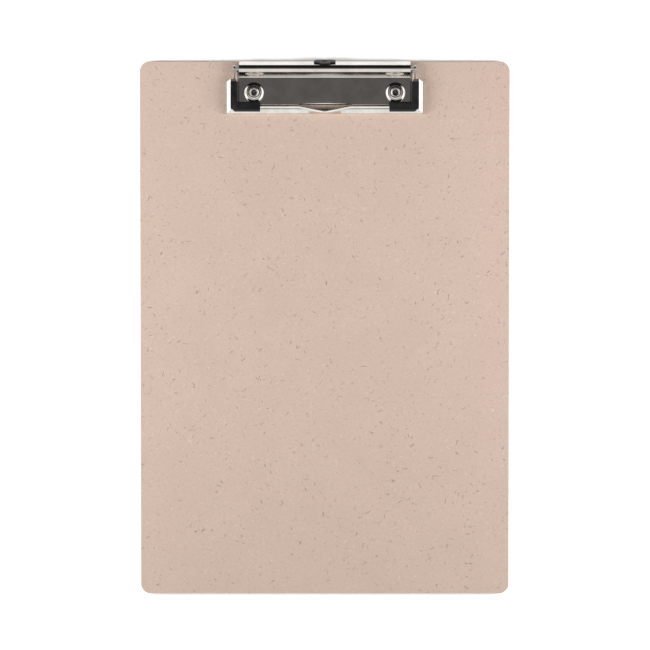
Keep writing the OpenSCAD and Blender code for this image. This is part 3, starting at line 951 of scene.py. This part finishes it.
for piece, side in ((grip, "right"), (left, "left")):
    finish_piece(piece, rubber_look, "grip_rubber", "grip_" + side)
    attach(piece, "jaw")

# ---------------------------------------------------------------- hanging tab
TAB_T = 1.0
TAB_GAP = 0.3
TONGUE_W = 7.2
TAIL_W = 10.8
NAIL_R = 1.65
RIDGE_W = 5.6
nail_y = 158.8
TAIL_D = 1.1
tab_z = tab_lo.z
pull_x = tab_hi.x
foot_y = top_y + (TAB_GAP + TAB_T) * flank_s


def on_flank(x, up, out):
    """A point by its height up the rear flank from its foot and its distance out from it."""
    return (x, top_y - up * flank_c + out * flank_s, rear_low_z + up * flank_s + out * flank_c)


tongue = rounded(
    [
        (-TAIL_W / 2, tab_lo.y), (TAIL_W / 2, tab_lo.y),
        (TAIL_W / 2, tab_lo.y + TAIL_D), (TONGUE_W / 2, tab_lo.y + TAIL_D),
        (TONGUE_W / 2, foot_y - 0.02), (-TONGUE_W / 2, foot_y - 0.02),
        (-TONGUE_W / 2, tab_lo.y + TAIL_D), (-TAIL_W / 2, tab_lo.y + TAIL_D),
    ],
    [0.5, 0.5, 0.4, 0.5, 0, 0, 0.5, 0.4], 5,
)
tab = prism("tab_moulding", tongue, "Z", tab_z, tab_z + TAB_T)
combine(tab, lathe("nail", [(0, 0), (NAIL_R, 0), (NAIL_R, 9), (0, 9)], (0, nail_y, 0), steps=48))
wing = [(-4.8, 0.0), (4.8, 0.0), (pull_x, 1.0), (pull_x, 2.3), (3.4, 2.95), (2.1, 3.9)]
wing += [(-2.1, 3.9), (-3.4, 2.95), (-pull_x, 2.3), (-pull_x, 1.0)]
wing = rounded(wing, [1.5, 1.5, 0.55, 0.55, 0.8, 0.5, 0.5, 0.8, 0.55, 0.55], 8)
pull = loft("pull", [[on_flank(x, up, out) for x, up in wing] for out in (TAB_GAP, TAB_GAP + TAB_T)])
neck = [(top_y + TAB_GAP * flank_s, tab_z + 0.02), (foot_y, tab_z + 0.02), (foot_y, rear_low_z + 0.6)]
neck += [
    on_flank(0, 0.9, TAB_GAP + TAB_T - 0.02)[1:], on_flank(0, 0.9, TAB_GAP + 0.02)[1:],
    on_flank(0, 0, TAB_GAP + 0.02)[1:]
]
combine(pull, prism("neck", neck, "X", -TONGUE_W / 2 + 0.02, TONGUE_W / 2 - 0.02), "UNION")
ridge = []
for k in range(17):
    x = -RIDGE_W / 2 + RIDGE_W * k / 16
    bulge = 0.5 + 0.5 * math.cos(2 * math.pi * x / RIDGE_W)
    high = TAB_GAP + TAB_T - 0.05 + 0.46 * bulge
    ridge.append([on_flank(x, up, out) for up, out in (
        (0.5, TAB_GAP + 0.4), (0.5, high - 0.12 * bulge), (0.8, high), (1.5, high),
        (2.1, high - 0.2 * bulge), (2.7, TAB_GAP + 0.95), (2.7, TAB_GAP + 0.4))])
combine(pull, loft("ridge", ridge), "UNION")
combine(tab, pull, "UNION")
soften(tab, 0.18, 3, 42, 40)
finish_piece(tab, plastic_look, "tab_plastic", "hanging_tab")
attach(tab, "tab")

# ---------------------------------------------------------------- floor and light
floor_half = 6.0
floor = make(
    "floor",
    [
        (-floor_half, -floor_half, 0), (floor_half, -floor_half, 0), (floor_half, floor_half, 0),
        (-floor_half, floor_half, 0)
    ],
    [(0, 1, 2, 3)],
)
paper = Looks("white_paper")
# The paper glows a little round the board, and not under it
PAPER_GLOW = 0.28
spot = paper.add("SeparateXYZ", {0: paper.p}).outputs
past_x = paper.span(paper.math("ABSOLUTE", spot[0]), board_hi.x - 4, board_hi.x - 1)
past_y = paper.span(paper.math("ABSOLUTE", spot[1]), board_hi.y - 4, board_hi.y - 1)
glow = paper.math("MULTIPLY", paper.math("MAXIMUM", past_x, past_y), PAPER_GLOW)
floor.data.materials.append(
    paper.surface(
        Emission_Color=(1, 1, 1, 1), Emission_Strength=glow,
        Base_Color=paper.blend(paper.noise(paper.p, 0.01, 2.0), (0.86, 0.86, 0.86), (0.88, 0.88, 0.88)),
        Roughness=0.9, Specular_IOR_Level=0.1
    )
)

world = bpy.data.worlds.new("studio")
scene.world = world
world.use_nodes = True
tree = world.node_tree
tree.nodes.clear()


def world_node(kind, inputs=None, **settings):
    node = tree.nodes.new("ShaderNode" + kind)
    for key, value in settings.items():
        setattr(node, key, value)
    for key, value in (inputs or {}).items():
        if isinstance(value, bpy.types.NodeSocket):
            tree.links.new(value, node.inputs[key])
        else:
            node.inputs[key].default_value = value
    return node


# Light by direction: forward is the angle from overhead towards +Y, sideways the angle towards X.
# Mirror-like reflections see the whole of both light sides; diffuse light comes only from their
# nearer part, so that little of it gets under the clip.
ray = world_node("SeparateXYZ", {0: world_node("TexCoord").outputs["Generated"]})
forward = world_node("Math", {0: ray.outputs[1], 1: ray.outputs[2]}, operation="ARCTAN2").outputs[0]
side_way = world_node("Math", {0: ray.outputs[0]}, operation="ABSOLUTE").outputs[0]
square_y = world_node("Math", {0: ray.outputs[1], 1: ray.outputs[1]}, operation="MULTIPLY").outputs[0]
square_yz = world_node(
    "Math", {0: ray.outputs[2], 1: ray.outputs[2], 2: square_y}, operation="MULTIPLY_ADD"
).outputs[0]
across = world_node("Math", {0: square_yz, 1: 0.5}, operation="POWER").outputs[0]
sideways = world_node("Math", {0: side_way, 1: across}, operation="ARCTAN2").outputs[0]
share = world_node(
    "MapRange", {
        "Value": forward, "From Min": -math.pi / 2, "From Max": math.pi / 2, "To Min": 0.0,
        "To Max": 1.0
    }
).outputs[0]
ramp = world_node("ValToRGB", {0: share})
STUDIO = [
    (-90, 0.95), (-40, 1.05), (-13, 1.0), (-8, 0.17), (0, 0.135), (11, 0.12),
    (16, 0.015), (60, 0.01), (86, 0.02), (90, 0.8),
]
band = ramp.color_ramp
band.interpolation = "LINEAR"
while len(band.elements) < len(STUDIO):
    band.elements.new(0.5)
for element, (angle, level) in zip(band.elements, STUDIO):
    element.position = (angle + 90) / 180
    element.color = (level, level * 0.985, level * 0.965, 1.0)
open_side = world_node(
    "MapRange", {
        "Value": sideways, "From Min": math.radians(30), "From Max": math.radians(46),
        "To Min": 0.0, "To Max": 1.0
    }
).outputs[0]
near_side = world_node(
    "MapRange", {
        "Value": forward, "From Min": math.radians(-16), "From Max": math.radians(-3),
        "To Min": 1.0, "To Max": 0.03
    }
).outputs[0]
seen_share = world_node(
    "Math", {0: world_node("LightPath").outputs["Is Glossy Ray"], 1: near_side}, operation="MAXIMUM"
).outputs[0]
open_side = world_node("Math", {0: open_side, 1: seen_share}, operation="MULTIPLY").outputs[0]
mix = world_node("Mix", {0: open_side}, data_type="RGBA")
tree.links.new(ramp.outputs[0], mix.inputs[6])
mix.inputs[7].default_value = (1.7, 1.68, 1.66, 1.0)
sky = world_node("Background", {"Color": mix.outputs[2], "Strength": 1.0})
world_node("OutputWorld", {"Surface": sky.outputs[0]})

SIDE_LIGHT = (0.60, 0.03, 0.30)      # place of the soft light on each side, in metres
SIDE_LIGHT_SIZE = (0.16, 0.30)
SIDE_LIGHT_ENERGY = 3.9
SIDE_LIGHT_TARGET = Vector((0, 0.08, 0))
for sign in (-1, 1):
    side_data = bpy.data.lights.new("soft_side", "AREA")
    side_data.shape = "RECTANGLE"
    side_data.size = SIDE_LIGHT_SIZE[0]
    side_data.size_y = SIDE_LIGHT_SIZE[1]
    side_data.energy = SIDE_LIGHT_ENERGY
    side = bpy.data.objects.new("soft_side", side_data)
    side.location = (sign * SIDE_LIGHT[0], SIDE_LIGHT[1], SIDE_LIGHT[2])
    side.rotation_euler = (SIDE_LIGHT_TARGET - side.location).to_track_quat("-Z", "Y").to_euler()
    side.visible_glossy = False
    side.visible_camera = False
    scene.collection.objects.link(side)
